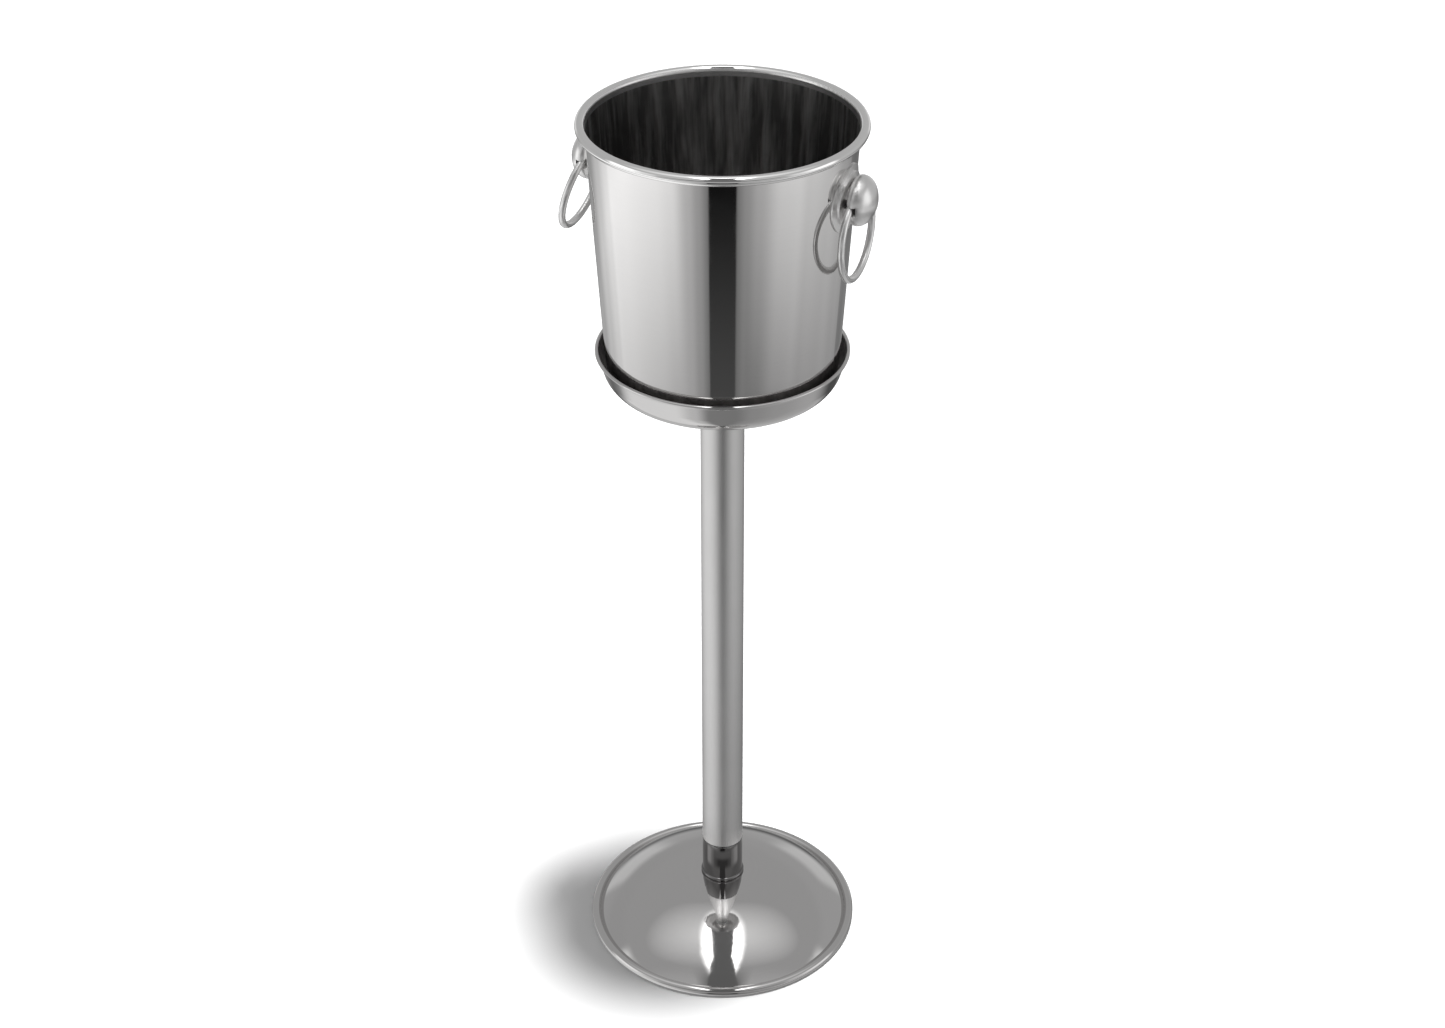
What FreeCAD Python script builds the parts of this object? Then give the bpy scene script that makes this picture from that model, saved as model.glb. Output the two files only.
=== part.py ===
import FreeCAD, Part
import math
import os

from FreeCAD import Vector

# Champagne bucket stand: a weighted round base, a tube column, a shallow tray, and a
# tapered bucket with two ring handles that stands loose in the tray.
#
# Millimetres. The origin is on the floor under the column's axis, +Z is up, and the
# two handles lie on the X axis. The bucket lifts along +Z, and each ring swings about
# a line parallel to Y through the top of its wire.

# ---------------------------------------------------------------- driving dimensions
# Column
TUBE_RADIUS = 19.0
TUBE_WALL = 1.5
COLLAR_BOTTOM = 50.2
COLLAR_TOP = 91.7
COLLAR_FOOT_BEAD = 1.7
COLLAR_FOOT_INSET = 0.4
COLLAR_FOOT_END = 76.0
COLLAR_EDGE = 0.5
SPIGOT_LENGTH = 28.0
SPIGOT_CHAMFER = 1.0
TUBE_TOP = 581.8
PLUG_FLANGE_RADIUS = 35.0
PLUG_FLANGE_EDGE = 1.5

# Base
BASE_RADIUS = 126.5
BASE_SHEET = 1.2
BASE_BEAD_RADIUS = 4.2
BASE_BEAD_HEIGHT = 4.5
BASE_CURL_END = -110.0
BASE_CURL_SLOT = 215.0
BASE_DOME_RADIUS = 129.4
BASE_TOP_RADIUS = 20.8
FOOT_RING_HEIGHT = 2.4
FOOT_RING_INNER = 100.0
FOOT_RING_OUTER = 116.0
FOOT_RING_EDGE = 1.0
PLATE_THICKNESS = 1.5
PLATE_RADIUS = 116.5
PLATE_HOLE_RADIUS = 24.0
PLATE_SCREW_CIRCLE = 80.0
PLATE_SCREW_RADIUS = 2.0
PLATE_SCREW_LENGTH = 9.5
PLATE_SCREW_HEAD_RADIUS = 3.8
PLATE_SCREW_HEAD = 1.6
WEIGHT_RADIUS = 108.0
WEIGHT_EDGE = 2.0
WEIGHT_EDGE_TOP = 7.6
WEIGHT_SHOULDER = (88.0, 15.8)
WEIGHT_BOSS_FILLET = 12.0
WEIGHT_BOSS_FOOT = (40.0, 17.5)
WEIGHT_BOSS_TOP_RADIUS = 18.0
WEIGHT_BOSS_START = -165.0
BASE_BOLT_RADIUS = 5.0
BASE_BOLT_HOLE_RADIUS = 5.5
BASE_BOLT_LENGTH = 64.0
BASE_BOLT_HEAD = 6.4
BASE_BOLT_ACROSS_FLATS = 17.0
COUNTERBORE_RADIUS = 14.0
COUNTERBORE_TOP = 16.0
PLAIN_WASHER_RADIUS = 10.0
PLAIN_WASHER_THICKNESS = 2.0
SPRING_WASHER_RADIUS = 9.0
SPRING_WASHER_THICKNESS = 2.5

# Tray
TRAY_SHEET = 1.0
TRAY_BOTTOM = 584.8
TRAY_FLAT_RADIUS = 78.8
TRAY_CORNER_RADIUS = 23.4
TRAY_WALL_LEAN = 15.0
TRAY_LIP_HEIGHT = 616.9
TRAY_BEAD_RADIUS = 1.6
TRAY_SCREW_RADIUS = 4.0
TRAY_SCREW_HOLE_RADIUS = 4.4
TRAY_SCREW_LENGTH = 24.0
TRAY_SCREW_HEAD_RADIUS = 8.5
TRAY_SCREW_HEAD = 2.2
TRAY_SCREW_HEAD_EDGE = 1.2
TRAY_WASHER_RADIUS = 11.0
TRAY_WASHER_THICKNESS = 1.0

# Bucket
BUCKET_SHEET = 0.9
BUCKET_BOTTOM = TRAY_BOTTOM + TRAY_SHEET
BUCKET_RIM_HEIGHT = 819.0
BUCKET_RIM_RADIUS = 111.2
BUCKET_FOOT_RADIUS = 97.5
BUCKET_CORNER_RADIUS = 26.0
BUCKET_BEAD_RADIUS = 4.1
BUCKET_CURL_END = -125.0
BUCKET_RECESS_RADIUS = 60.0
BUCKET_RECESS_FLAT_RADIUS = 51.0
BUCKET_RECESS_DEPTH = 4.5

# Handles
HANDLE_HEIGHT = 772.5
ROSE_RADIUS = 28.5
ROSE_THICKNESS = 1.2
ROSE_REACH = 40.0
BOSS_RADIUS = 22.5
BOSS_STEP = 3.3
KNOB_RADIUS = 20.8
KNOB_ROOT_RADIUS = 14.5
KNOB_ROOT_X = 106.0
KNOB_NECK_X = 112.6
KNOB_EDGE = 117.9
KNOB_DOME = 14.6
KNOB_SHOULDER = 11.5
KNOB_BACK_BULGE = (0.73, 0.35)
RING_WIRE_RADIUS = 3.0
RING_RADIUS = 35.5
RING_AXIS_X = 116.5
RING_AXIS_Z = 776.5
LEFT_RING_SWING = 16.0
GROOVE_CLEARANCE = 0.4
GROOVE_DEPTH_TO = 121.9
HANDLE_SCREW_Z = 766.6
HANDLE_SCREW_RADIUS = 2.0
HANDLE_SCREW_HEAD_RADIUS = 4.0
HANDLE_SCREW_HEAD = 2.2
HANDLE_SCREW_HEAD_EDGE = 1.6
HANDLE_WASHER_RADIUS = 6.0
HANDLE_WASHER_THICKNESS = 1.6

# ---------------------------------------------------------------- derived dimensions
TUBE_BORE = TUBE_RADIUS - TUBE_WALL
BASE_BEAD_X = BASE_RADIUS - BASE_BEAD_RADIUS
BOLT_HEAD_TOP = COUNTERBORE_TOP - PLAIN_WASHER_THICKNESS - SPRING_WASHER_THICKNESS
PLATE_TOP = FOOT_RING_HEIGHT + PLATE_THICKNESS
BUCKET_TILT = math.atan2(
    BUCKET_RIM_RADIUS - BUCKET_FOOT_RADIUS, BUCKET_RIM_HEIGHT - BUCKET_BOTTOM)

X_AXIS = Vector(1, 0, 0)
Y_AXIS = Vector(0, 1, 0)
Z_AXIS = Vector(0, 0, 1)
ORIGIN = Vector(0, 0, 0)


# ---------------------------------------------------------------- drawing helpers
def on_circle(centre, radius, degrees):
    """Point (radius, height) on a circle drawn in the half plane of an outline."""
    angle = math.radians(degrees)
    return centre[0] + radius * math.cos(angle), centre[1] + radius * math.sin(angle)


class Outline:
    """A closed outline of (radius, height) points, turned about Z into a solid."""

    def __init__(self, radius, height):
        self.start = (radius, height)
        self.here = self.start
        self.edges = []

    def line(self, radius, height):
        if math.dist(self.here, (radius, height)) > 1e-5:
            a = Vector(self.here[0], 0, self.here[1])
            b = Vector(radius, 0, height)
            self.edges.append(Part.LineSegment(a, b).toShape())
            self.here = (radius, height)
        return self

    def arc(self, centre, radius, first, last):
        """Run straight to the arc's first angle, then round it to the last one."""
        begin, middle, end = (
            on_circle(centre, radius, angle) for angle in (first, (first + last) / 2, last))
        self.line(*begin)
        return self.arc_through(middle, end)

    def arc_through(self, middle, end):
        a, b, c = (Vector(p[0], 0, p[1]) for p in (self.here, middle, end))
        self.edges.append(Part.Arc(a, b, c).toShape())
        self.here = end
        return self

    def solid(self):
        self.line(*self.start)
        face = Part.Face(Part.Wire(self.edges))
        return face.revolve(ORIGIN, Z_AXIS, 360)


def disc(radius, bottom, top, hole=0.0):
    """A flat round disc about Z, with a round hole if one is given."""
    shape = Part.makeCylinder(radius, top - bottom, Vector(0, 0, bottom))
    if hole:
        shape = shape.cut(Part.makeCylinder(hole, top - bottom, Vector(0, 0, bottom)))
    return shape


def hexagon(across_flats, bottom, top):
    """A hexagonal prism about Z."""
    corner = across_flats / math.sqrt(3)
    points = [Vector(*on_circle((0, 0), corner, 60 * i), bottom) for i in range(7)]
    return Part.Face(Part.makePolygon(points)).extrude(Vector(0, 0, top - bottom))


def rod_along_x(radius, x0, x1, z):
    """A round bar parallel to X in the handle's middle plane."""
    return Part.makeCylinder(radius, x1 - x0, Vector(x0, 0, z), X_AXIS)


def chamfered(shape, size, at_height, outer_radius):
    """Chamfer the circular edge that lies at one height and radius."""
    edges = [
        e for e in shape.Edges
        if abs(e.BoundBox.ZMin - at_height) < 1e-3
        and abs(e.BoundBox.ZMax - at_height) < 1e-3
        and abs(e.BoundBox.XMax - outer_radius) < 1e-3]
    return shape.makeChamfer(size, edges)


# ---------------------------------------------------------------- base
def upper_crossing(dome, dome_radius, bead, bead_radius):
    """Angles, on the dome and on the bead, of the higher point where the circles cross."""
    across = dome[0] - bead[0]
    down = dome[1] - bead[1]
    apart = math.hypot(across, down)
    cosine = (apart ** 2 + bead_radius ** 2 - dome_radius ** 2) / (2 * apart * bead_radius)
    on_bead = math.degrees(math.atan2(down, across) - math.acos(cosine)) % 360.0
    x, z = on_circle(bead, bead_radius, on_bead)
    on_dome = math.degrees(math.atan2(z - dome[1], x - dome[0]))
    return on_dome, on_bead


def base_cover():
    """Spun sheet dome, flat on top and open below, with its edge rolled into a bead."""
    bead = (BASE_BEAD_X, BASE_BEAD_HEIGHT)
    dome = (BASE_TOP_RADIUS, COLLAR_BOTTOM - BASE_DOME_RADIUS)
    dome_inside = BASE_DOME_RADIUS - BASE_SHEET
    bead_inside = BASE_BEAD_RADIUS - BASE_SHEET
    dome_end, bead_start = upper_crossing(dome, BASE_DOME_RADIUS, bead, BASE_BEAD_RADIUS)
    under_end, bead_under = upper_crossing(dome, dome_inside, bead, BASE_BEAD_RADIUS)
    shape = Outline(BASE_BOLT_HOLE_RADIUS, COLLAR_BOTTOM)
    shape.arc(dome, BASE_DOME_RADIUS, 90.0, dome_end)
    shape.arc(bead, BASE_BEAD_RADIUS, bead_start, BASE_CURL_END)
    shape.arc(bead, bead_inside, BASE_CURL_END, BASE_CURL_SLOT)
    shape.arc(bead, BASE_BEAD_RADIUS, BASE_CURL_SLOT, bead_under)
    shape.arc(dome, dome_inside, under_end, 90.0)
    shape.line(BASE_BOLT_HOLE_RADIUS, COLLAR_BOTTOM - BASE_SHEET)
    return shape.solid()


def base_weight():
    """Cast-iron disc with a boss that carries the bolt up to the cover's flat top."""
    boss_top = COLLAR_BOTTOM - BASE_SHEET
    foot_x, foot_z = WEIGHT_BOSS_FOOT
    shape = Outline(BASE_BOLT_HOLE_RADIUS, COUNTERBORE_TOP)
    shape.line(COUNTERBORE_RADIUS, COUNTERBORE_TOP)
    shape.line(COUNTERBORE_RADIUS, PLATE_TOP)
    shape.arc((WEIGHT_RADIUS - WEIGHT_EDGE, PLATE_TOP + WEIGHT_EDGE), WEIGHT_EDGE, -90.0, 0.0)
    shape.line(WEIGHT_RADIUS, WEIGHT_EDGE_TOP)
    shape.line(*WEIGHT_SHOULDER)
    shape.arc((foot_x, foot_z + WEIGHT_BOSS_FILLET), WEIGHT_BOSS_FILLET, -90.0,
              WEIGHT_BOSS_START)
    shape.line(WEIGHT_BOSS_TOP_RADIUS, boss_top)
    shape.line(BASE_BOLT_HOLE_RADIUS, boss_top)
    weight = shape.solid()
    for x, y in plate_screw_places():
        weight = weight.cut(plate_screw_shank(x, y))
    return weight


def plate_screw_places():
    return [on_circle((0, 0), PLATE_SCREW_CIRCLE, 30.0 + 120.0 * i) for i in range(3)]


def plate_screw_shank(x, y):
    place = Vector(x, y, FOOT_RING_HEIGHT)
    return Part.makeCylinder(PLATE_SCREW_RADIUS, PLATE_SCREW_LENGTH, place)


def base_plate():
    plate = disc(PLATE_RADIUS, FOOT_RING_HEIGHT, PLATE_TOP, hole=PLATE_HOLE_RADIUS)
    for x, y in plate_screw_places():
        plate = plate.cut(plate_screw_shank(x, y))
    return plate


def base_plate_screws():
    """Three low pan-head screws that hold the plate up against the weight."""
    slot_width = 1.0
    slot_depth = 0.8
    slot_length = 2 * PLATE_SCREW_HEAD_RADIUS
    bottom = FOOT_RING_HEIGHT - PLATE_SCREW_HEAD
    screws = []
    for x, y in plate_screw_places():
        head = Part.makeCylinder(PLATE_SCREW_HEAD_RADIUS, PLATE_SCREW_HEAD, Vector(x, y, bottom))
        corner = Vector(x - slot_length / 2, y - slot_width / 2, bottom)
        slot = Part.makeBox(slot_length, slot_width, slot_depth, corner)
        screws.append(head.fuse(plate_screw_shank(x, y)).cut(slot))
    return Part.makeCompound(screws)


def base_foot_ring():
    """Flat rubber ring with rounded lower edges, glued under the plate."""
    edge = FOOT_RING_EDGE
    shape = Outline(FOOT_RING_INNER, FOOT_RING_HEIGHT)
    shape.arc((FOOT_RING_INNER + edge, edge), edge, 180.0, 270.0)
    shape.arc((FOOT_RING_OUTER - edge, edge), edge, 270.0, 360.0)
    shape.line(FOOT_RING_OUTER, FOOT_RING_HEIGHT)
    return shape.solid()


def base_plain_washer():
    bottom = COUNTERBORE_TOP - PLAIN_WASHER_THICKNESS
    return disc(PLAIN_WASHER_RADIUS, bottom, COUNTERBORE_TOP, hole=BASE_BOLT_HOLE_RADIUS)


def base_spring_washer():
    """Split washer: a flat ring with a narrow slanted cut across one side."""
    gap_width = 1.2
    slant = 25.0
    past_edge = 1.0
    thickness = SPRING_WASHER_THICKNESS
    top = BOLT_HEAD_TOP + thickness
    ring = disc(SPRING_WASHER_RADIUS, BOLT_HEAD_TOP, top, hole=BASE_BOLT_HOLE_RADIUS)
    corner = Vector(0, -gap_width / 2, BOLT_HEAD_TOP)
    gap = Part.makeBox(SPRING_WASHER_RADIUS + past_edge, gap_width, thickness, corner)
    gap.rotate(Vector(0, 0, BOLT_HEAD_TOP + thickness / 2), X_AXIS, slant)
    return ring.cut(gap)


def base_bolt():
    """Hexagon-head bolt up through the weight and the cover into the collar."""
    head = hexagon(BASE_BOLT_ACROSS_FLATS, BOLT_HEAD_TOP - BASE_BOLT_HEAD, BOLT_HEAD_TOP)
    place = Vector(0, 0, BOLT_HEAD_TOP)
    return head.fuse(Part.makeCylinder(BASE_BOLT_RADIUS, BASE_BOLT_LENGTH, place))


# ---------------------------------------------------------------- column
def base_collar():
    """Polished socket with a rounded foot, a plain body and a spigot into the tube."""
    bead = COLLAR_FOOT_BEAD
    foot = (TUBE_RADIUS - COLLAR_FOOT_INSET, COLLAR_BOTTOM + bead)
    spigot_top = COLLAR_TOP + SPIGOT_LENGTH
    shape = Outline(BASE_BOLT_RADIUS, COLLAR_BOTTOM)
    shape.arc(foot, bead, -90.0, COLLAR_FOOT_END)
    shape.line(TUBE_RADIUS, COLLAR_BOTTOM + 2 * bead + COLLAR_EDGE)
    shape.line(TUBE_RADIUS, COLLAR_TOP - COLLAR_EDGE)
    shape.line(TUBE_RADIUS - COLLAR_EDGE, COLLAR_TOP)
    shape.line(TUBE_BORE, COLLAR_TOP)
    shape.line(TUBE_BORE, spigot_top - SPIGOT_CHAMFER)
    shape.line(TUBE_BORE - SPIGOT_CHAMFER, spigot_top)
    shape.line(BASE_BOLT_RADIUS, spigot_top)
    return shape.solid()


def column_tube():
    tube = disc(TUBE_RADIUS, COLLAR_TOP, TUBE_TOP, hole=TUBE_BORE)
    return chamfered(tube, COLLAR_EDGE, COLLAR_TOP, TUBE_RADIUS)


def column_top_plug():
    """Flanged plug in the top of the tube, threaded for the tray's screw."""
    bottom = TUBE_TOP - SPIGOT_LENGTH
    edge = PLUG_FLANGE_EDGE
    shape = Outline(TRAY_SCREW_RADIUS, bottom)
    shape.line(TUBE_BORE - SPIGOT_CHAMFER, bottom)
    shape.line(TUBE_BORE, bottom + SPIGOT_CHAMFER)
    shape.line(TUBE_BORE, TUBE_TOP)
    shape.arc((PLUG_FLANGE_RADIUS - edge, TUBE_TOP + edge), edge, -90.0, 0.0)
    shape.line(PLUG_FLANGE_RADIUS, TRAY_BOTTOM)
    shape.line(TRAY_SCREW_RADIUS, TRAY_BOTTOM)
    return shape.solid()


# ---------------------------------------------------------------- tray
def tray_dish():
    """Shallow round dish: a deep rounded corner, a leaning wall and a beaded lip."""
    lean = math.radians(TRAY_WALL_LEAN)
    corner = (TRAY_FLAT_RADIUS, TRAY_BOTTOM + TRAY_CORNER_RADIUS)
    inside = TRAY_CORNER_RADIUS - TRAY_SHEET
    rise = TRAY_LIP_HEIGHT - corner[1]
    bead_reach = (inside + TRAY_BEAD_RADIUS) / math.cos(lean) + rise * math.tan(lean)
    bead = (TRAY_FLAT_RADIUS + bead_reach, TRAY_LIP_HEIGHT)
    seam = math.degrees(math.asin((TRAY_BEAD_RADIUS - TRAY_SHEET) / TRAY_BEAD_RADIUS))
    shape = Outline(TRAY_SCREW_HOLE_RADIUS, TRAY_BOTTOM)
    shape.arc(corner, TRAY_CORNER_RADIUS, -90.0, -TRAY_WALL_LEAN)
    shape.arc(bead, TRAY_BEAD_RADIUS, -90.0 - TRAY_WALL_LEAN - seam, 180.0 - TRAY_WALL_LEAN)
    shape.arc(corner, inside, -TRAY_WALL_LEAN, -90.0)
    shape.line(TRAY_SCREW_HOLE_RADIUS, TRAY_BOTTOM + TRAY_SHEET)
    return shape.solid()


def tray_washer():
    bottom = TRAY_BOTTOM + TRAY_SHEET
    top = bottom + TRAY_WASHER_THICKNESS
    return disc(TRAY_WASHER_RADIUS, bottom, top, hole=TRAY_SCREW_HOLE_RADIUS)


def tray_screw():
    """Flat wide-head screw with a hexagonal socket, down into the column's plug."""
    edge = TRAY_SCREW_HEAD_EDGE
    socket = 5.0
    socket_depth = 3.0
    head_bottom = TRAY_BOTTOM + TRAY_SHEET + TRAY_WASHER_THICKNESS
    head_top = head_bottom + TRAY_SCREW_HEAD
    shape = Outline(0.0, head_bottom - TRAY_SCREW_LENGTH)
    shape.line(TRAY_SCREW_RADIUS, head_bottom - TRAY_SCREW_LENGTH)
    shape.line(TRAY_SCREW_RADIUS, head_bottom)
    shape.line(TRAY_SCREW_HEAD_RADIUS, head_bottom)
    shape.arc((TRAY_SCREW_HEAD_RADIUS - edge, head_top - edge), edge, 0.0, 90.0)
    shape.line(0.0, head_top)
    return shape.solid().cut(hexagon(socket, head_top - socket_depth, head_top))


# ---------------------------------------------------------------- bucket
def wall_radius(height, offset=0.0):
    """Radius of the bucket's outside wall at a height, moved outwards by an offset."""
    above = height - BUCKET_BOTTOM
    return BUCKET_FOOT_RADIUS + above * math.tan(BUCKET_TILT) + offset / math.cos(BUCKET_TILT)


def wall_cone(offset):
    """Solid cone of the bucket's wall over the height of the handles."""
    low = HANDLE_HEIGHT - ROSE_REACH
    high = HANDLE_HEIGHT + ROSE_REACH
    return Part.makeCone(
        wall_radius(low, offset), wall_radius(high, offset), high - low, Vector(0, 0, low))


def bucket_shell():
    """Tapered pail: recessed bottom, round corner, straight wall, outward rolled rim."""
    tilt = math.degrees(BUCKET_TILT)
    sheet = BUCKET_SHEET
    slant = sheet / 2
    bead_inside = BUCKET_BEAD_RADIUS - sheet
    corner_z = BUCKET_BOTTOM + BUCKET_CORNER_RADIUS
    corner = (wall_radius(corner_z, -BUCKET_CORNER_RADIUS), corner_z)
    rim = (wall_radius(BUCKET_RIM_HEIGHT, bead_inside), BUCKET_RIM_HEIGHT)
    recess = BUCKET_BOTTOM + BUCKET_RECESS_DEPTH
    shape = Outline(0.0, recess)
    shape.line(BUCKET_RECESS_FLAT_RADIUS, recess)
    shape.line(BUCKET_RECESS_RADIUS, BUCKET_BOTTOM)
    shape.arc(corner, BUCKET_CORNER_RADIUS, -90.0, -tilt)
    shape.arc(rim, bead_inside, 180.0 - tilt, BUCKET_CURL_END)
    shape.arc(rim, BUCKET_BEAD_RADIUS, BUCKET_CURL_END, 180.0 - tilt)
    shape.arc(corner, BUCKET_CORNER_RADIUS - sheet, -tilt, -90.0)
    shape.line(BUCKET_RECESS_RADIUS + slant, BUCKET_BOTTOM + sheet)
    shape.line(BUCKET_RECESS_FLAT_RADIUS + slant, recess + sheet)
    shape.line(0.0, recess + sheet)
    hole = rod_along_x(
        HANDLE_SCREW_RADIUS, -BUCKET_RIM_RADIUS, BUCKET_RIM_RADIUS, HANDLE_SCREW_Z)
    return shape.solid().cut(hole)


# ---------------------------------------------------------------- handles (right side)
def handle_rose():
    """Round stepped plate bent to the wall: a thin flange and a raised seat."""
    start = wall_radius(HANDLE_HEIGHT) / 2
    flange = rod_along_x(ROSE_RADIUS, start, KNOB_EDGE, HANDLE_HEIGHT)
    seat = rod_along_x(BOSS_RADIUS, start, KNOB_EDGE, HANDLE_HEIGHT)
    hole = rod_along_x(HANDLE_SCREW_RADIUS, start, KNOB_EDGE, HANDLE_SCREW_Z)
    rose = flange.common(wall_cone(ROSE_THICKNESS)).fuse(seat.common(wall_cone(BOSS_STEP)))
    return rose.cut(wall_cone(0.0)).cut(hole).removeSplitter()


def knob_body():
    """Bun-shaped button turned about X: rounded back, round edge, domed front."""
    shoulder = (KNOB_RADIUS - KNOB_SHOULDER, KNOB_EDGE)
    crown = (KNOB_RADIUS ** 2 + KNOB_DOME ** 2 - 2 * KNOB_RADIUS * KNOB_SHOULDER) / (
        2 * (KNOB_DOME - KNOB_SHOULDER))
    crown_centre = (0.0, KNOB_EDGE + KNOB_DOME - crown)
    meet = math.degrees(math.atan2(shoulder[1] - crown_centre[1], shoulder[0]))
    out, up = KNOB_BACK_BULGE
    middle = (KNOB_ROOT_RADIUS + out * (KNOB_RADIUS - KNOB_ROOT_RADIUS),
              KNOB_NECK_X + up * (KNOB_EDGE - KNOB_NECK_X))
    shape = Outline(0.0, KNOB_ROOT_X)
    shape.line(KNOB_ROOT_RADIUS, KNOB_ROOT_X)
    shape.line(KNOB_ROOT_RADIUS, KNOB_NECK_X)
    shape.arc_through(middle, (KNOB_RADIUS, KNOB_EDGE))
    shape.arc(shoulder, KNOB_SHOULDER, 0.0, meet)
    shape.arc(crown_centre, crown, meet, 90.0)
    body = shape.solid()
    body.rotate(ORIGIN, Y_AXIS, 90.0)
    body.translate(Vector(0, 0, HANDLE_HEIGHT))
    return body


def ring_groove():
    """Arched channel in the knob's back that holds the top of the ring."""
    outer = RING_RADIUS + RING_WIRE_RADIUS + GROOVE_CLEARANCE
    inner = RING_RADIUS - RING_WIRE_RADIUS - GROOVE_CLEARANCE
    centre = RING_AXIS_Z - RING_RADIUS
    channel = rod_along_x(outer, KNOB_ROOT_X, GROOVE_DEPTH_TO, centre).cut(
        rod_along_x(inner, KNOB_ROOT_X, GROOVE_DEPTH_TO, centre))
    corner = Vector(KNOB_ROOT_X, -outer, centre)
    upper_half = Part.makeBox(GROOVE_DEPTH_TO - KNOB_ROOT_X, 2 * outer, outer, corner)
    return channel.common(upper_half)


def handle_knob():
    thread_end = GROOVE_DEPTH_TO - RING_WIRE_RADIUS
    screw_hole = rod_along_x(HANDLE_SCREW_RADIUS, KNOB_ROOT_X, thread_end, HANDLE_SCREW_Z)
    return knob_body().cut(wall_cone(BOSS_STEP)).cut(ring_groove()).cut(screw_hole)


def handle_ring():
    ring = Part.makeTorus(RING_RADIUS, RING_WIRE_RADIUS, ORIGIN, X_AXIS)
    ring.translate(Vector(RING_AXIS_X, 0, RING_AXIS_Z - RING_RADIUS))
    return ring


def screw_face():
    """Distance from the bucket's axis to the flat of the washer under a screw's head."""
    return wall_radius(HANDLE_SCREW_Z, -BUCKET_SHEET) - HANDLE_WASHER_THICKNESS


def handle_washer():
    """Sealing washer inside the bucket, moulded to the curve of the wall."""
    reach = BUCKET_RIM_RADIUS
    washer = rod_along_x(HANDLE_WASHER_RADIUS, screw_face(), reach, HANDLE_SCREW_Z)
    hole = rod_along_x(HANDLE_SCREW_RADIUS, screw_face(), reach, HANDLE_SCREW_Z)
    return washer.common(wall_cone(-BUCKET_SHEET)).cut(hole)


def handle_screw():
    """Low round-head screw from inside the bucket into the knob, below the ring."""
    socket = 2.5
    socket_depth = 1.3
    end_gap = 0.6
    edge = HANDLE_SCREW_HEAD_EDGE
    face = screw_face()
    back = face - HANDLE_SCREW_HEAD
    tip = GROOVE_DEPTH_TO - RING_WIRE_RADIUS - end_gap
    shape = Outline(0.0, back)
    shape.arc((HANDLE_SCREW_HEAD_RADIUS - edge, back + edge), edge, -90.0, 0.0)
    shape.line(HANDLE_SCREW_HEAD_RADIUS, face)
    shape.line(HANDLE_SCREW_RADIUS, face)
    shape.line(HANDLE_SCREW_RADIUS, tip)
    shape.line(0.0, tip)
    screw = shape.solid().cut(hexagon(socket, back, back + socket_depth))
    screw.rotate(ORIGIN, Y_AXIS, 90.0)
    screw.translate(Vector(0, 0, HANDLE_SCREW_Z))
    return screw


def on_left(shape):
    """The same piece on the opposite side of the bucket."""
    turned = shape.copy()
    turned.rotate(ORIGIN, Z_AXIS, 180.0)
    return turned


def swung_out_left_ring():
    """The left ring stands a little away from the wall, turned about its own axis."""
    ring = on_left(handle_ring())
    ring.rotate(Vector(-RING_AXIS_X, 0, RING_AXIS_Z), Y_AXIS, LEFT_RING_SWING)
    return ring


# ---------------------------------------------------------------- nodes
def nodes():
    pieces = {
        "base_cover": base_cover(),
        "base_weight": base_weight(),
        "base_plate": base_plate(),
        "base_plate_screws": base_plate_screws(),
        "base_foot_ring": base_foot_ring(),
        "base_plain_washer": base_plain_washer(),
        "base_spring_washer": base_spring_washer(),
        "base_bolt": base_bolt(),
        "base_collar": base_collar(),
        "column_tube": column_tube(),
        "column_top_plug": column_top_plug(),
        "tray_dish": tray_dish(),
        "tray_washer": tray_washer(),
        "tray_screw": tray_screw(),
        "bucket_shell": bucket_shell(),
        "handle_ring_right": handle_ring(),
        "handle_ring_left": swung_out_left_ring(),
    }
    one_side = {
        "handle_rose": handle_rose(),
        "handle_knob": handle_knob(),
        "handle_washer": handle_washer(),
        "handle_screw": handle_screw(),
    }
    for name, shape in one_side.items():
        pieces[name + "_right"] = shape
        pieces[name + "_left"] = on_left(shape)
    return pieces


def main():
    os.makedirs("parts", exist_ok=True)
    for name, shape in nodes().items():
        shape.exportStep("parts/" + name + ".step")
        box = shape.BoundBox
        print(f"{name:20s} solids {len(shape.Solids)} valid {shape.isValid()} "
              f"volume {shape.Volume / 1000:9.2f} cm3 z {box.ZMin:.2f}..{box.ZMax:.2f} "
              f"x {box.XMin:.2f}..{box.XMax:.2f}")


main()
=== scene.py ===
import math
from collections import namedtuple

import bpy
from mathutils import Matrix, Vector


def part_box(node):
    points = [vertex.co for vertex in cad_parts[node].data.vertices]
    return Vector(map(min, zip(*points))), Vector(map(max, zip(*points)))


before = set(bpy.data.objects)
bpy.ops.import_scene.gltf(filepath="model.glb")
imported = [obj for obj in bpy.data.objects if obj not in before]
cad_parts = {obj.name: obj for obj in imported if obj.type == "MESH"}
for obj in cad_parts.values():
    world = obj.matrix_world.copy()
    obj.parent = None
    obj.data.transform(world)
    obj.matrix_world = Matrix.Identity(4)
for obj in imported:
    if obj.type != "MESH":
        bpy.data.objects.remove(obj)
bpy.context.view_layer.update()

# ------------------------------------------------------------------ places and sizes
# Metres, in the CAD frame: +Z up, the origin on the floor under the column, and the
# handles on the X axis.
CAMERA_AZIMUTH = math.radians(23.0)
CAMERA_PITCH = math.radians(31.74)
CAMERA_DISTANCE = 1.8314
CAMERA_HEIGHT = 1.5843
CAMERA_LENS = 61.13
SENSOR_WIDTH = 36.0

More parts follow.
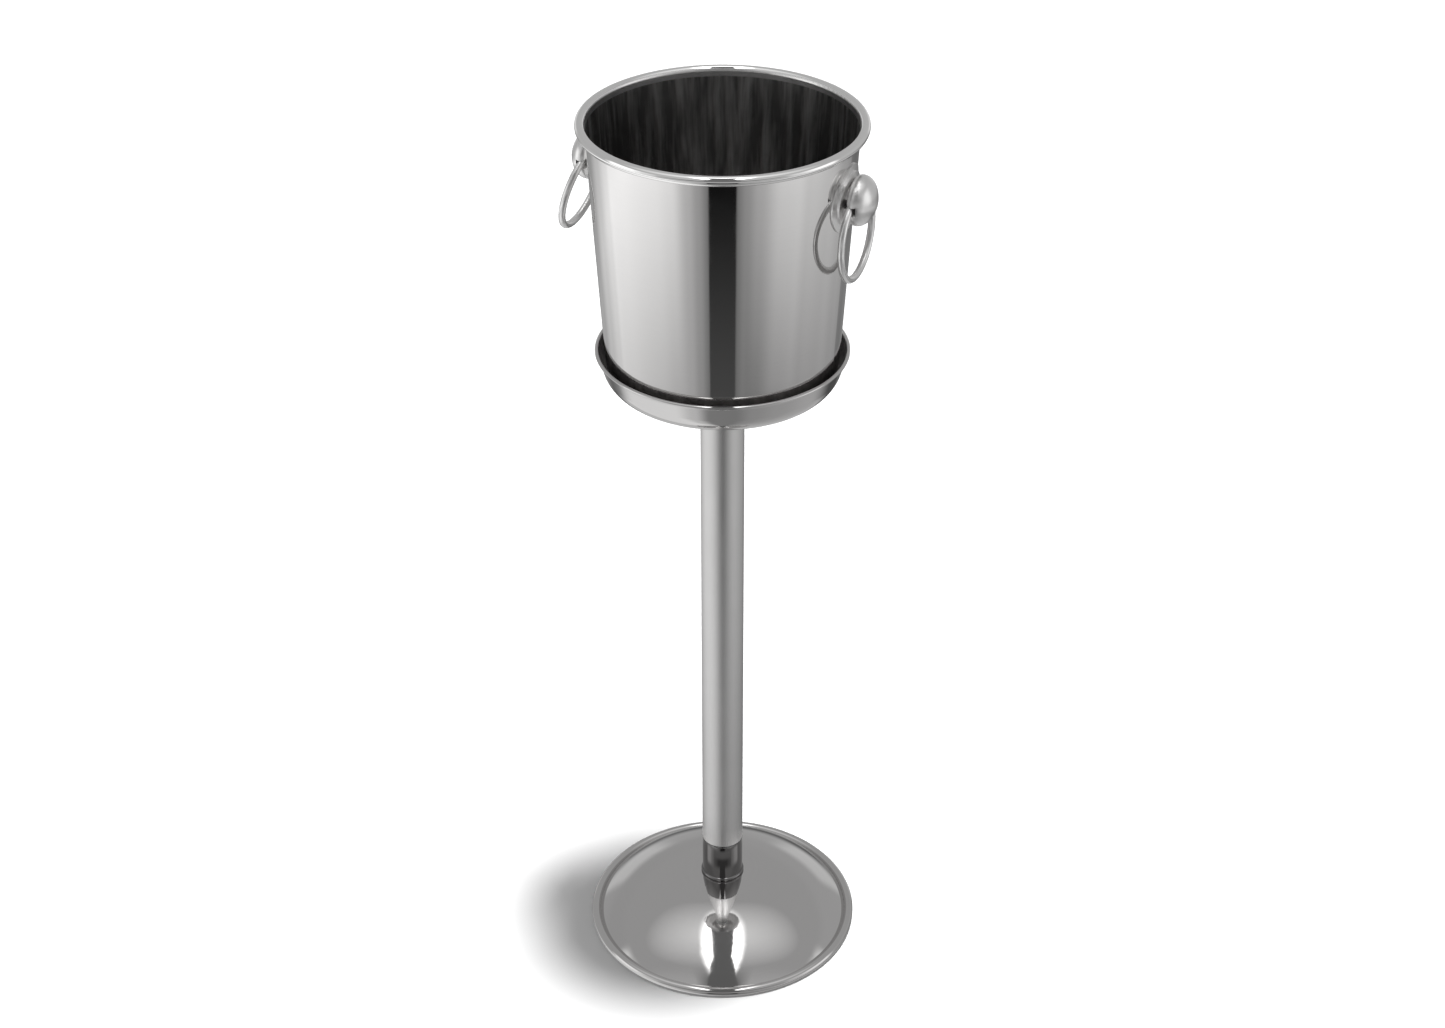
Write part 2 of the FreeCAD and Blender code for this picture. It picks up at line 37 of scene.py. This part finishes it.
KEY_TO_RIGHT = 0.52
KEY_TO_CAMERA = -0.14
KEY_HEIGHT = 8.0
KEY_SIZE = 0.90
KEY_POWER = 800.0
FILL_LIGHT = 0.33
BACKDROP_LIGHT = 1.2
FLOOR_HALF_WIDTH = 2.2
FLOOR_GREY = 0.90
ALL_BOUNCES = 20
MIRROR_BOUNCES = 16

MILLIMETRE = 0.001
KNOB_HEIGHT = (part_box("handle_knob_right")[0][2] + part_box("handle_knob_right")[1][2]) / 2
# Height above which the bucket's rim gets a painted highlight.
PAINTED_RIM_HIGHLIGHT_FROM = 0.8152
TO_CAMERA = Vector((math.sin(CAMERA_AZIMUTH), -math.cos(CAMERA_AZIMUTH), 0.0))
TO_RIGHT = Vector((math.cos(CAMERA_AZIMUTH), math.sin(CAMERA_AZIMUTH), 0.0))


# ------------------------------------------------------------------ node helpers
class Nodes:
    """Short calls for building one node tree. Values are sockets, numbers or tuples."""

    def __init__(self, tree):
        self.tree = tree
        self.tree.nodes.clear()

    def add(self, kind, **settings):
        node = self.tree.nodes.new(kind)
        for key, value in settings.items():
            setattr(node, key, value)
        return node

    def link(self, value, socket):
        """Link a socket, or set a constant on the receiving socket itself."""
        if isinstance(value, bpy.types.NodeSocket):
            self.tree.links.new(value, socket)
        else:
            socket.default_value = value

    def link_all(self, values, node):
        for value, socket in zip(values, node.inputs):
            self.link(value, socket)

    def math(self, operation, *values):
        node = self.add("ShaderNodeMath", operation=operation)
        self.link_all(values, node)
        return node.outputs[0]

    def plus(self, a, b):
        return self.math("ADD", a, b)

    def times(self, a, b):
        return self.math("MULTIPLY", a, b)

    def vector_math(self, operation, *values, output="Vector"):
        node = self.add("ShaderNodeVectorMath", operation=operation)
        self.link_all(values, node)
        return node.outputs[output]

    def scaled(self, vector, scale):
        node = self.add("ShaderNodeVectorMath", operation="SCALE")
        self.link(vector, node.inputs[0])
        self.link(scale, node.inputs["Scale"])
        return node.outputs[0]

    def place(self):
        """The shaded point, in its object's coordinates."""
        return self.add("ShaderNodeTexCoord").outputs["Object"]

    def split(self, vector):
        node = self.add("ShaderNodeSeparateXYZ")
        self.link(vector, node.inputs[0])
        return node.outputs

    def combine(self, x, y, z):
        node = self.add("ShaderNodeCombineXYZ")
        self.link_all((x, y, z), node)
        return node.outputs[0]

    def noise(self, vector, scale, detail=2.0, roughness=0.5):
        node = self.add("ShaderNodeTexNoise")
        self.link(vector, node.inputs["Vector"])
        node.inputs["Scale"].default_value = scale
        node.inputs["Detail"].default_value = detail
        node.inputs["Roughness"].default_value = roughness
        return node.outputs["Fac"]

    def span(self, value, low, high, out_low, out_high, smooth=False):
        node = self.add("ShaderNodeMapRange")
        node.interpolation_type = "SMOOTHSTEP" if smooth else "LINEAR"
        self.link_all((value, low, high, out_low, out_high), node)
        return node.outputs[0]

    def spread(self, noise, out_low, out_high):
        """Map the range where most of a noise's values lie."""
        return self.span(noise, 0.3, 0.7, out_low, out_high)

    def ramp(self, value, stops):
        node = self.add("ShaderNodeValToRGB")
        node.color_ramp.interpolation = "EASE"
        elements = node.color_ramp.elements
        while len(elements) < len(stops):
            elements.new(0.5)
        for element, (position, grey) in zip(elements, stops):
            element.position = position
            element.color = (grey, grey, grey, 1.0)
        self.link(value, node.inputs[0])
        return node.outputs[0]

    def blend(self, factor, a, b):
        """Colour a where the factor is 0, and colour b where it is 1."""
        node = self.add("ShaderNodeMix", data_type="RGBA")
        self.link(factor, node.inputs["Factor"])
        self.link(a, node.inputs[6])
        self.link(b, node.inputs[7])
        return node.outputs[2]

    def bump(self, height, strength, distance, normal=None):
        node = self.add("ShaderNodeBump")
        node.inputs["Strength"].default_value = strength
        node.inputs["Distance"].default_value = distance
        self.link(height, node.inputs["Height"])
        if normal:
            self.link(normal, node.inputs["Normal"])
        return node.outputs[0]


def opaque(colour):
    return (*colour, 1.0)


def new_material(name):
    material = bpy.data.materials.new(name)
    material.use_nodes = True
    return material, Nodes(material.node_tree)


def finish_material(nodes, shader):
    output = nodes.add("ShaderNodeOutputMaterial")
    nodes.link(shader.outputs[0], output.inputs["Surface"])


def principled(nodes, tint, rough, normal, metallic=1.0):
    """The material's Principled shader, linked to its output."""
    shader = nodes.add("ShaderNodeBsdfPrincipled")
    shader.inputs["Metallic"].default_value = metallic
    nodes.link(tint, shader.inputs["Base Color"])
    nodes.link(rough, shader.inputs["Roughness"])
    nodes.link(normal, shader.inputs["Normal"])
    finish_material(nodes, shader)
    return shader


def turned_coordinates(nodes, axis="Z", centre_height=0.0):
    """Radius, distance along the axis, and angle round it, for a turned piece."""
    x, y, z = nodes.split(nodes.place())
    if axis == "X":
        x, y, z = y, nodes.math("SUBTRACT", z, centre_height), x
    radius = nodes.math("SQRT", nodes.plus(nodes.times(x, x), nodes.times(y, y)))
    angle = nodes.math("ARCTAN2", y, x)
    return radius, z, angle


def facing_the_axis(nodes):
    """1 on walls that face the Z axis, like the inside of a bucket, and 0 elsewhere."""
    flat = nodes.vector_math("MULTIPLY", nodes.place(), (1.0, 1.0, 0.0))
    outwards = nodes.vector_math("NORMALIZE", flat)
    normal = nodes.add("ShaderNodeNewGeometry").outputs["True Normal"]
    facing = nodes.vector_math("DOT_PRODUCT", outwards, normal, output="Value")
    return nodes.span(facing, -0.85, -0.75, 1.0, 0.0)


# ------------------------------------------------------------------ materials
# A noise's scale is the number of its cells in one metre of the coordinate it gets.
STEEL = (0.64, 0.632, 0.628)
# The collar's steel is darkened far below the rest: painted shade.
COLLAR_STEEL_PAINTED_SHADE = (0.23, 0.226, 0.226)
# The handles' steel is brightened above the rest: painted light.
HANDLE_STEEL_PAINTED_LIGHT = (0.90, 0.895, 0.89)
# Brighter steel for the bucket's rim: a painted highlight.
RIM_STEEL_PAINTED_HIGHLIGHT = (0.93, 0.925, 0.92)
MIRROR_FINISH = (0.035, 0.085)
HANDLE_FINISH = (0.285, 0.34)
BUFFING_DEPTH = 0.00035 * MILLIMETRE

# A less finished inside: how much rougher it is, its streaks' two tones, which paint shade
# and streaky reflections on the inside, and the height of the waves on the outside and on the
# inside.
Lining = namedtuple("Lining", "rougher dark light wave_outside wave_inside")
# The bucket's dark streak tone is painted shade deep inside it.
BUCKET_LINING = Lining(0.25, 0.25, 0.76, 0.00001, 0.00008)
TRAY_LINING = Lining(0.26, 0.60, 0.80, 0.0, 0.00001)


def add_lining(nodes, lining, along, angle, tint, rough, normal):
    """The tint, roughness and normal with the lining on the walls that face the axis, whose
    streaked tint is painted shade and painted streaky reflections.
    """
    within = facing_the_axis(nodes)
    ripples = nodes.combine(nodes.times(angle, 0.11), 0.0, nodes.times(along, 0.10))
    streaks = nodes.noise(ripples, 85.0, detail=3.0, roughness=0.6)
    dark, light = lining.dark, lining.light
    # Painted shade and streaky reflections on the inner walls.
    painted_shade_and_reflections = nodes.blend(nodes.span(streaks, 0.42, 0.66, 0.0, 1.0),
                           (dark, 0.985 * dark, 0.99 * dark, 1.0),
                           (light, 0.99 * light, 0.985 * light, 1.0))
    wave = nodes.span(within, 0.0, 1.0, lining.wave_outside, lining.wave_inside)
    return (nodes.blend(within, tint, painted_shade_and_reflections),
            nodes.plus(rough, nodes.times(within, lining.rougher)),
            nodes.bump(nodes.times(streaks, wave), 1.0, 1.0, normal))


def polished_steel(name, axis="Z", centre_height=0.0, colour=STEEL,
                   roughness=MIRROR_FINISH, lining=None, painted_highlight_above=None):
    """Mirror-polished stainless steel with fine buffing lines round the piece's axis.

    Above the height that its last argument gives, the steel's colour is brighter: a painted
    highlight.
    """
    material, nodes = new_material(name)
    radius, along, angle = turned_coordinates(nodes, axis, centre_height)
    turns = nodes.combine(radius, along, nodes.times(angle, 0.00012))
    lines = nodes.noise(turns, 5200.0, detail=3.0, roughness=0.62)
    bands = nodes.noise(turns, 420.0)
    place = nodes.place()
    smudges = nodes.noise(place, 26.0, detail=5.0, roughness=0.62)
    specks = nodes.noise(place, 900.0, roughness=0.7)

    haze = nodes.span(smudges, 0.42, 0.68, 0.0, 1.0, smooth=True)
    haze = nodes.plus(nodes.times(haze, 0.6), nodes.times(bands, 0.4))
    haze = nodes.plus(haze, nodes.spread(lines, -0.18, 0.18))
    rough = nodes.span(haze, 0.0, 1.0, *roughness)

    darker = tuple(0.93 * c for c in colour)
    tint = nodes.blend(nodes.spread(lines, 0.0, 0.55), opaque(colour), opaque(darker))
    normal = nodes.bump(nodes.plus(lines, nodes.times(specks, 0.15)), 1.0, BUFFING_DEPTH)
    if lining:
        tint, rough, normal = add_lining(nodes, lining, along, angle, tint, rough, normal)
    # A brighter colour above that height: a painted highlight.
    if painted_highlight_above:
        edge = 0.6 * MILLIMETRE
        painted_highlight = nodes.span(along, painted_highlight_above - edge, painted_highlight_above, 0.0, 1.0)
        tint = nodes.blend(painted_highlight, tint, opaque(RIM_STEEL_PAINTED_HIGHLIGHT))

    principled(nodes, tint, rough, normal)
    return material


def satin_steel(name):
    """Satin tube with fine lines along it, darker towards its top under the tray: painted
    shade.

    The lines spread its reflections round it.
    """
    painted_shade_from, painted_shade_darkest_at = 0.22, 0.585
    material, nodes = new_material(name)
    radius, along, angle = turned_coordinates(nodes)
    grain = nodes.combine(radius, nodes.times(angle, 0.019), nodes.times(along, 0.012))
    lines = nodes.noise(grain, 4200.0, detail=4.0, roughness=0.7)
    bands = nodes.noise(nodes.combine(radius, along, 0.0), 60.0, detail=3.0)
    cloud = nodes.noise(nodes.place(), 14.0, detail=3.0)

    rough = nodes.plus(nodes.spread(lines, 0.32, 0.36), nodes.spread(cloud, -0.02, 0.02))
    tint = nodes.blend(nodes.span(lines, 0.28, 0.72, 0.0, 1.0),
                       (0.95, 0.945, 0.94, 1.0), (0.85, 0.845, 0.84, 1.0))
    tint = nodes.blend(nodes.spread(bands, 0.0, 0.25), tint, (0.86, 0.85, 0.845, 1.0))
    # Painted shade: the tube's tint darkens towards its top, under the tray.
    tint = nodes.blend(nodes.span(along, painted_shade_from, painted_shade_darkest_at, 0.0, 1.0, smooth=True),
                       tint, (0.64, 0.635, 0.63, 1.0))
    shader = principled(nodes, tint, rough, nodes.bump(lines, 0.6, 0.0018 * MILLIMETRE))
    shader.inputs["Anisotropic"].default_value = 0.78
    tangent = nodes.add("ShaderNodeTangent", direction_type="RADIAL", axis="Z")
    nodes.link(tangent.outputs[0], shader.inputs["Tangent"])
    return material


def plated_steel(name):
    """Bright zinc plating with a faint crystalline mottle."""
    material, nodes = new_material(name)
    place = nodes.place()
    mottle = nodes.noise(place, 240.0, detail=3.0)
    grain = nodes.noise(place, 2600.0)
    tint = nodes.blend(mottle, (0.62, 0.64, 0.66, 1.0), (0.50, 0.50, 0.47, 1.0))
    principled(nodes, tint, nodes.spread(mottle, 0.24, 0.42),
               nodes.bump(grain, 0.4, 0.02 * MILLIMETRE))
    return material


def cast_iron(name):
    """Rough casting under black primer."""
    material, nodes = new_material(name)
    place = nodes.place()
    pits = nodes.noise(place, 520.0, detail=5.0, roughness=0.7)
    patches = nodes.noise(place, 40.0, detail=3.0)
    tint = nodes.blend(patches, (0.030, 0.030, 0.032, 1.0), (0.062, 0.056, 0.050, 1.0))
    principled(nodes, tint, nodes.spread(pits, 0.55, 0.8),
               nodes.bump(pits, 0.8, 0.3 * MILLIMETRE), metallic=0.0)
    return material


def moulded(name, light, dark, roughness):
    """Moulded rubber or plastic with a fine matt grain."""
    material, nodes = new_material(name)
    place = nodes.place()
    grain = nodes.noise(place, 1800.0)
    patches = nodes.noise(place, 60.0, detail=3.0)
    principled(nodes, nodes.blend(patches, opaque(light), opaque(dark)),
               nodes.spread(grain, roughness, roughness + 0.15),
               nodes.bump(grain, 0.5, 0.03 * MILLIMETRE), metallic=0.0)
    return material


def dress(node, material):
    """Give a CAD node one material all over."""
    for slot in bpy.data.objects[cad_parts[node].name].material_slots:
        slot.material = material


def dress_all():
    turned = polished_steel("polished_steel_turned")
    bucket = polished_steel("polished_steel_bucket", lining=BUCKET_LINING,
                            painted_highlight_above=PAINTED_RIM_HIGHLIGHT_FROM)
    tray = polished_steel("polished_steel_tray", lining=TRAY_LINING)
    collar = polished_steel("polished_steel_collar_painted_shade", colour=COLLAR_STEEL_PAINTED_SHADE)
    handles = polished_steel("polished_steel_handles_painted_light", axis="X", centre_height=KNOB_HEIGHT,
                             colour=HANDLE_STEEL_PAINTED_LIGHT, roughness=HANDLE_FINISH)
    plated = plated_steel("zinc_plated_steel")
    nylon = moulded("nylon_seal", (0.72, 0.71, 0.67), (0.62, 0.60, 0.55), 0.45)
    chosen = {
        "base_cover": turned, "base_collar": collar, "tray_dish": tray,
        "tray_washer": turned, "tray_screw": turned,
        "column_tube": satin_steel("satin_steel_tube"),
        "bucket_shell": bucket,
        "base_weight": cast_iron("primed_cast_iron"),
        "base_foot_ring": moulded("black_rubber", (0.030, 0.030, 0.031),
                                  (0.018, 0.018, 0.018), 0.6),
        "base_plate": plated, "base_plate_screws": plated, "base_bolt": plated,
        "base_plain_washer": plated, "base_spring_washer": plated, "column_top_plug": plated,
    }
    for side in ("right", "left"):
        for piece in ("rose", "knob", "ring", "screw"):
            chosen[f"handle_{piece}_{side}"] = handles
        chosen[f"handle_washer_{side}"] = nylon
    for node, material in chosen.items():
        dress(node, material)


# ------------------------------------------------------------------ studio
# A direction is told by its azimuth, measured from the camera's side and positive to its
# right, and by its height above the horizon, both in degrees. One part of the studio
# gives way to the next between these heights.
FOOT_TO_TABLE = (-46.0, -38.5)
TABLE_TO_WALLS = (-22.0, -8.0)
WALLS_TO_CEILING = (18.0, 28.0)

# Stops are (azimuth, tone). The table right under the stand, seen steeply by the tray and
# the bucket's round foot.
TABLE_BELOW = (
    (-180, 0.62), (-134, 0.64), (-128, 0.93), (-60, 0.96), (-36, 0.68), (-15, 0.27),
    (15, 0.26), (40, 0.36), (70, 0.42), (110, 0.50), (180, 0.60))
# The table farther out, seen by the bucket's wall and the column.
TABLE_AROUND = (
    (-180, 0.20), (-152, 0.34), (-134, 0.58), (-118, 0.80), (-112, 0.94), (-90, 1.0),
    (-60, 1.0), (-45, 0.93), (-30, 0.62), (-21, 0.45), (-12.9, 0.28), (-11.8, 0.0),
    (11.9, 0.0), (13.0, 0.26), (21, 0.37), (32, 0.49), (52, 0.69), (68, 0.68),
    (81, 0.57), (107, 0.47), (128, 0.36), (150, 0.16), (180, 0.18))
# How much that table's tone changes with height.
TABLE_FALLOFF = (
    (-180, 0.12), (-45, 0.11), (-30, 0.05), (-15, 0.03), (14, 0.05), (32, 0.13),
    (60, 0.15), (180, 0.12))
# The walls, with a large pale screen at either side.
WALLS = (
    (-180, 0.42), (-99, 0.42), (-89, 1.15), (-76, 1.2), (-58, 0.7), (-42, 0.34),
    (-20, 0.16), (20, 0.16), (42, 0.30), (58, 0.7), (76, 1.1), (89, 1.1),
    (99, 0.46), (180, 0.44))
# Low pale panels behind the stand, one to each side.
LOW_PANELS = (
    (-180, 0.44), (-170, 0.46), (-162, 0.66), (-148, 0.66), (-140, 0.44),
    (140, 0.44), (148, 0.66), (162, 0.66), (170, 0.46), (180, 0.44))


def azimuth_ramp(nodes, round_turn, stops):
    """The tone of a list of stops, where round_turn runs from 0 to 1 round the stand."""
    return nodes.ramp(round_turn, [(degrees / 360.0 + 0.5, tone) for degrees, tone in stops])


def change_over(nodes, degrees, heights, lower, upper):
    """The lower part's tone below the two heights, and the upper part's above them."""
    return nodes.blend(nodes.span(degrees, *heights, 0.0, 1.0, smooth=True), lower, upper)


def oval(nodes, side, front, half_width, middle, half_length):
    """How far out a direction lies in an oval overhead: 0 in its middle, 1 on its edge."""
    across = nodes.math("DIVIDE", side, half_width)
    along = nodes.math("DIVIDE", nodes.math("SUBTRACT", front, middle), half_length)
    return nodes.math("SQRT", nodes.plus(nodes.times(across, across),
                                         nodes.times(along, along)))


def table_tone(nodes, round_turn, degrees):
    """The table round the stand: brightest on the left, with a dark gap by the camera."""
    table = azimuth_ramp(nodes, round_turn, TABLE_AROUND)
    falloff = azimuth_ramp(nodes, round_turn, TABLE_FALLOFF)
    height = nodes.math("MINIMUM", nodes.span(degrees, -37.0, -28.0, -5.0, 4.0),
                        nodes.span(degrees, -28.0, -21.0, 4.0, -3.0))
    graded = nodes.vector_math("MULTIPLY_ADD", nodes.scaled(falloff, height), table, table)
    gap = nodes.span(degrees, -36.0, -31.0, 0.090, 0.008)
    return nodes.vector_math("MAXIMUM", graded, nodes.combine(gap, gap, gap))


def wall_tone(nodes, round_turn, degrees):
    """The walls, with the panels near the horizon."""
    walls = azimuth_ramp(nodes, round_turn, WALLS)
    panels = azimuth_ramp(nodes, round_turn, LOW_PANELS)
    low = nodes.span(degrees, 2.0, 12.0, 1.0, 0.0, smooth=True)
    return nodes.blend(low, walls, nodes.vector_math("MAXIMUM", walls, panels))


def ceiling_tone(nodes, x, towards, up):
    """A grey ceiling, a soft oval light with a glow round it, and a dark boom across."""
    boom_tone = 0.15
    side = nodes.math("DIVIDE", nodes.math("ABSOLUTE", x), up)
    front = nodes.math("DIVIDE", towards, up)
    ceiling = nodes.span(front, 0.55, 1.15, 0.43,
                         nodes.span(side, 0.22, 0.50, 0.14, 0.52), smooth=True)
    glow = oval(nodes, side, front, half_width=1.25, middle=0.10, half_length=0.60)
    halo = nodes.span(glow, 0.1, 1.0, 0.50, 0.0)
    lamp = oval(nodes, side, front, half_width=0.24, middle=0.39, half_length=0.64)
    light = nodes.span(lamp, 0.78, 1.24, 2.4, 0.0, smooth=True)
    over = nodes.plus(ceiling, nodes.plus(halo, light))
    boom_width = nodes.math("MAXIMUM", nodes.times(up, 0.113), nodes.times(towards, 0.25))
    off_boom = nodes.math("SUBTRACT", nodes.math("ABSOLUTE", x), boom_width)
    boom = nodes.times(nodes.span(off_boom, -0.006, 0.012, 1.0, 0.0, smooth=True),
                       nodes.span(front, -0.12, 0.0, 0.0, 1.0, smooth=True))
    over = nodes.plus(nodes.times(over, nodes.math("SUBTRACT", 1.0, boom)),
                      nodes.times(boom, boom_tone))
    return nodes.combine(over, over, over)


def room_tone(nodes):
    """What polished steel mirrors of the studio, by direction only."""
    turn = nodes.add("ShaderNodeVectorRotate", rotation_type="Z_AXIS")
    nodes.link(nodes.add("ShaderNodeTexCoord").outputs["Generated"], turn.inputs["Vector"])
    turn.inputs["Angle"].default_value = -CAMERA_AZIMUTH
    x, y, z = nodes.split(turn.outputs[0])
    towards = nodes.times(y, -1.0)
    azimuth = nodes.math("ARCTAN2", x, towards)
    round_turn = nodes.plus(nodes.math("DIVIDE", azimuth, 2 * math.pi), 0.5)
    degrees = nodes.times(nodes.math("ARCSINE", z), 180.0 / math.pi)

    tone = change_over(nodes, degrees, FOOT_TO_TABLE,
                       azimuth_ramp(nodes, round_turn, TABLE_BELOW),
                       table_tone(nodes, round_turn, degrees))
    tone = change_over(nodes, degrees, TABLE_TO_WALLS, tone,
                       wall_tone(nodes, round_turn, degrees))
    up = nodes.math("MAXIMUM", z, 0.05)
    return change_over(nodes, degrees, WALLS_TO_CEILING, tone,
                       ceiling_tone(nodes, x, towards, up))


def plain_light(nodes, strength):
    """White from every direction."""
    light = nodes.add("ShaderNodeBackground")
    light.inputs["Color"].default_value = (1.0, 1.0, 1.0, 1.0)
    light.inputs["Strength"].default_value = strength
    return light


def either(nodes, chosen_by, otherwise, chosen):
    """One shader for the rays that chosen_by picks, and another for all other rays."""
    mix = nodes.add("ShaderNodeMixShader")
    nodes.link_all((chosen_by, otherwise.outputs[0], chosen.outputs[0]), mix)
    return mix


def studio_world():
    """The room for reflections, a plain fill for matt surfaces, and a white backdrop."""
    world = bpy.data.worlds.new("studio")
    world.use_nodes = True
    bpy.context.scene.world = world
    nodes = Nodes(world.node_tree)
    room = nodes.add("ShaderNodeBackground")
    nodes.link(room_tone(nodes), room.inputs["Color"])
    path = nodes.add("ShaderNodeLightPath").outputs
    lit = either(nodes, path["Is Diffuse Ray"], room, plain_light(nodes, FILL_LIGHT))
    seen = either(nodes, path["Is Camera Ray"], lit, plain_light(nodes, BACKDROP_LIGHT))
    output = nodes.add("ShaderNodeOutputWorld")
    nodes.link(seen.outputs[0], output.inputs["Surface"])


def studio_floor():
    """Plain pale floor. The polished steel reflects the studio's own table tones instead."""
    half = FLOOR_HALF_WIDTH
    mesh = bpy.data.meshes.new("studio_floor")
    mesh.from_pydata([(-half, -half, 0), (half, -half, 0), (half, half, 0), (-half, half, 0)],
                     [], [(0, 1, 2, 3)])
    floor = bpy.data.objects.new("studio_floor", mesh)
    bpy.context.collection.objects.link(floor)
    material, nodes = new_material("pale_floor")
    shader = nodes.add("ShaderNodeBsdfDiffuse")
    shader.inputs["Color"].default_value = (FLOOR_GREY, FLOOR_GREY, FLOOR_GREY, 1.0)
    finish_material(nodes, shader)
    mesh.materials.append(material)
    floor.visible_glossy = False


def key_light():
    """A round soft light aimed at the foot of the stand, unseen by the polished steel."""
    data = bpy.data.lights.new("key_light", "AREA")
    data.shape = "DISK"
    data.size = KEY_SIZE
    data.energy = KEY_POWER
    light = bpy.data.objects.new("key_light", data)
    light.location = (TO_RIGHT * KEY_TO_RIGHT + TO_CAMERA * KEY_TO_CAMERA
                      + Vector((0, 0, KEY_HEIGHT)))
    light.rotation_mode = "QUATERNION"
    light.rotation_quaternion = (-light.location).to_track_quat("-Z", "Y")
    light.visible_glossy = False
    light.visible_camera = False
    bpy.context.collection.objects.link(light)


def camera():
    data = bpy.data.cameras.new("camera")
    data.sensor_width = SENSOR_WIDTH
    data.lens = CAMERA_LENS
    view = bpy.data.objects.new("camera", data)
    bpy.context.collection.objects.link(view)
    view.location = TO_CAMERA * CAMERA_DISTANCE + Vector((0, 0, CAMERA_HEIGHT))
    view.rotation_mode = "XYZ"
    view.rotation_euler = (math.pi / 2 - CAMERA_PITCH, 0.0, CAMERA_AZIMUTH)
    bpy.context.scene.camera = view


def studio():
    studio_world()
    studio_floor()
    key_light()
    camera()
    scene = bpy.context.scene
    scene.view_settings.view_transform = "Standard"
    scene.cycles.max_bounces = ALL_BOUNCES
    scene.cycles.glossy_bounces = MIRROR_BOUNCES


dress_all()
studio()
